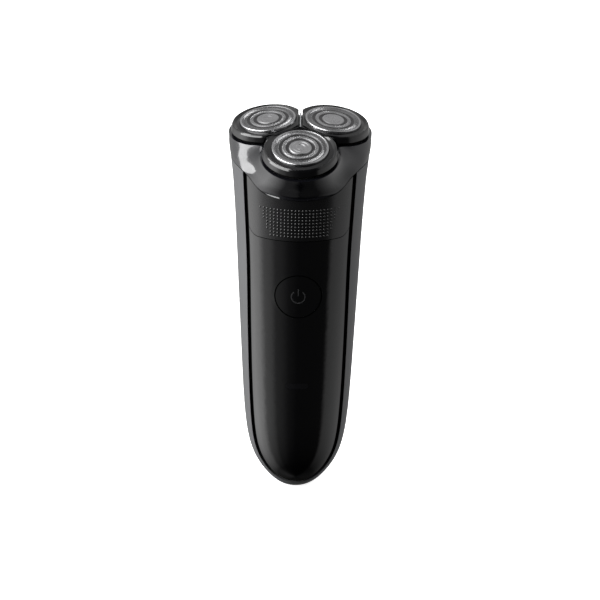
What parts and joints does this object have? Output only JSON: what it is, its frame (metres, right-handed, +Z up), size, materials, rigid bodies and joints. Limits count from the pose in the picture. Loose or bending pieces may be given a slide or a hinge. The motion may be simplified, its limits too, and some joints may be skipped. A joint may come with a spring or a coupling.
{
  "type": "electric shaver",
  "caption": "Cordless rotary electric shaver: slim oval handle with a glossy front, thumb grip and power button, and a pull-off head with a trefoil of round slotted guards in floating pods.",
  "frame": {"origin": "centre of the flat tip under the handle, at the mouth of the charging port", "axes": "+Z up the handle, -Y out of the front panel, +X to the right seen from the back's opposite side (the viewer's right when facing the front)"},
  "size_m": [0.0602, 0.0578, 0.1716],
  "materials": {
    "side_band": "satin dark grey moulding",
    "front_gloss": "piano black, polished",
    "soft_black": "soft matte rubber with raised pips",
    "smoked_lens": "smoked clear plastic",
    "frame_black": "matte black moulding",
    "plated_pin": "plated",
    "seal_rubber": "matte seal rubber",
    "battery_wrap": "shrink sleeve",
    "nickel": "nickel strip",
    "board_green": "solder mask",
    "screw_steel": "plain steel",
    "motor_steel": "zinc-plated steel",
    "plunger_white": "plain moulding",
    "gear_white": "acetal moulding",
    "collar_paint": "dark blue-grey metallic lacquer",
    "web_grey": "light grey moulding",
    "pod_gloss": "polished black",
    "guard_steel": "ground steel, fine rings",
    "clip_grey": "plain moulding",
    "blade_steel": "ground edges",
    "hub_plastic": "plain moulding",
    "spring_steel": "spring wire",
    "spindle_plastic": "acetal moulding"
  },
  "bodies": {
    "handle": {"tip_cap": "side_band", "rear_shell": "side_band", "front_cover": "front_gloss", "thumb_grip": "soft_black", "status_window": "smoked_lens", "inner_frame": "frame_black", "charge_socket": "frame_black", "charge_pins": "plated_pin", "socket_gasket": "seal_rubber", "battery": "battery_wrap", "battery_tabs": "nickel", "circuit_board": "board_green", "tact_switch": "frame_black", "button_seal": "seal_rubber", "neck_deck": "frame_black", "shaft_seal": "seal_rubber", "deck_screws": "screw_steel", "motor_plate": "frame_black", "motor_can": "motor_steel", "motor_cap": "frame_black", "motor_screws": "screw_steel"},
    "power_button": {"power_button": "front_gloss"},
    "switch_plunger": {"switch_plunger": "plunger_white"},
    "rotor": {"motor_rotor": "motor_steel", "drive_coupling": "gear_white"},
    "head": {"head_shell": "collar_paint", "gear_tray": "frame_black", "gear_axles": "screw_steel", "hair_chamber": "frame_black", "centre_web": "web_grey"},
    "pinion": {"centre_pinion": "gear_white"},
    "pod_1": {"pod_ring_1": "pod_gloss", "guard_1": "guard_steel", "guard_clip_1": "clip_grey"},
    "cutter_1": {"cutter_blades_1": "blade_steel", "cutter_hub_1": "hub_plastic"},
    "gear_1": {"cutter_gear_1": "gear_white", "spindle_spring_1": "spring_steel"},
    "spindle_1": {"drive_spindle_1": "spindle_plastic"},
    "pod_2": {"pod_ring_2": "pod_gloss", "guard_2": "guard_steel", "guard_clip_2": "clip_grey"},
    "cutter_2": {"cutter_blades_2": "blade_steel", "cutter_hub_2": "hub_plastic"},
    "gear_2": {"cutter_gear_2": "gear_white", "spindle_spring_2": "spring_steel"},
    "spindle_2": {"drive_spindle_2": "spindle_plastic"},
    "pod_3": {"pod_ring_3": "pod_gloss", "guard_3": "guard_steel", "guard_clip_3": "clip_grey"},
    "cutter_3": {"cutter_blades_3": "blade_steel", "cutter_hub_3": "hub_plastic"},
    "gear_3": {"cutter_gear_3": "gear_white", "spindle_spring_3": "spring_steel"},
    "spindle_3": {"drive_spindle_3": "spindle_plastic"}
  },
  "joints": [
    {"name": "head_lift", "type": "slide", "parent": "handle", "child": "head", "axis": [0, -0.1736, 0.9848], "range_m": [0, 0.03]},
    {"name": "button_press", "type": "slide", "parent": "handle", "child": "power_button", "axis": [0, 1, 0], "range_m": [0, 0.0005], "stiffness_N_per_m": 1500, "springref_m": -0.0004},
    {"name": "plunger_press", "type": "slide", "parent": "handle", "child": "switch_plunger", "axis": [0, 1, 0], "range_m": [0, 0.0005]},
    {"name": "motor_spin", "type": "hinge", "parent": "handle", "child": "rotor", "pos_m": [0, 0.00197, 0.15], "axis": [0, -0.1736, 0.9848], "continuous": true},
    {"name": "pinion_spin", "type": "hinge", "parent": "head", "child": "pinion", "pos_m": [0, 0.00197, 0.15], "axis": [0, -0.1736, 0.9848], "continuous": true},
    {"name": "pod_1_tilt", "type": "hinge", "parent": "head", "child": "pod_1", "pos_m": [0, -0.01568, 0.16174], "axis": [1, 0, 0], "range_deg": [-2.5, 2.5], "stiffness_Nm_per_rad": 0.05},
    {"name": "cutter_1_spin", "type": "hinge", "parent": "pod_1", "child": "cutter_1", "pos_m": [0, -0.01668, 0.16499], "axis": [0, -0.2924, 0.9563], "continuous": true},
    {"name": "gear_1_spin", "type": "hinge", "parent": "head", "child": "gear_1", "pos_m": [0, -0.013, 0.14736], "axis": [0, -0.1736, 0.9848], "continuous": true},
    {"name": "spindle_1_press", "type": "slide", "parent": "gear_1", "child": "spindle_1", "axis": [0, 0.1736, -0.9848], "range_m": [0, 0.001], "stiffness_N_per_m": 400, "springref_m": -0.0005, "deforming": ["spindle_spring_1"]},
    {"name": "pod_2_tilt", "type": "hinge", "parent": "head", "child": "pod_2", "pos_m": [0.01329, 0.00699, 0.16573], "axis": [-0.5, 0.8529, 0.1504], "range_deg": [-2.5, 2.5], "stiffness_Nm_per_rad": 0.05},
    {"name": "cutter_2_spin", "type": "hinge", "parent": "pod_2", "child": "cutter_2", "pos_m": [0.01365, 0.0066, 0.16909], "axis": [0.1055, -0.1123, 0.988], "continuous": true},
    {"name": "gear_2_spin", "type": "hinge", "parent": "head", "child": "gear_2", "pos_m": [0.01316, 0.00945, 0.15132], "axis": [0, -0.1736, 0.9848], "continuous": true},
    {"name": "spindle_2_press", "type": "slide", "parent": "gear_2", "child": "spindle_2", "axis": [0, 0.1736, -0.9848], "range_m": [0, 0.001], "stiffness_N_per_m": 400, "springref_m": -0.0005, "deforming": ["spindle_spring_2"]},
    {"name": "pod_3_tilt", "type": "hinge", "parent": "head", "child": "pod_3", "pos_m": [-0.01329, 0.00699, 0.16573], "axis": [-0.5, -0.8529, -0.1504], "range_deg": [-2.5, 2.5], "stiffness_Nm_per_rad": 0.05},
    {"name": "cutter_3_spin", "type": "hinge", "parent": "pod_3", "child": "cutter_3", "pos_m": [-0.01365, 0.0066, 0.16909], "axis": [-0.1055, -0.1123, 0.988], "continuous": true},
    {"name": "gear_3_spin", "type": "hinge", "parent": "head", "child": "gear_3", "pos_m": [-0.01316, 0.00945, 0.15132], "axis": [0, -0.1736, 0.9848], "continuous": true},
    {"name": "spindle_3_press", "type": "slide", "parent": "gear_3", "child": "spindle_3", "axis": [0, 0.1736, -0.9848], "range_m": [0, 0.001], "stiffness_N_per_m": 400, "springref_m": -0.0005, "deforming": ["spindle_spring_3"]}
  ],
  "couplings": [
    {"joint": "plunger_press", "follows": "button_press", "ratio": 1},
    {"joint": "pinion_spin", "follows": "motor_spin", "ratio": 1},
    {"joint": "cutter_1_spin", "follows": "motor_spin", "ratio": -0.65217},
    {"joint": "gear_1_spin", "follows": "motor_spin", "ratio": -0.65217},
    {"joint": "cutter_2_spin", "follows": "motor_spin", "ratio": -0.65217},
    {"joint": "gear_2_spin", "follows": "motor_spin", "ratio": -0.65217},
    {"joint": "cutter_3_spin", "follows": "motor_spin", "ratio": -0.65217},
    {"joint": "gear_3_spin", "follows": "motor_spin", "ratio": -0.65217}
  ]
}
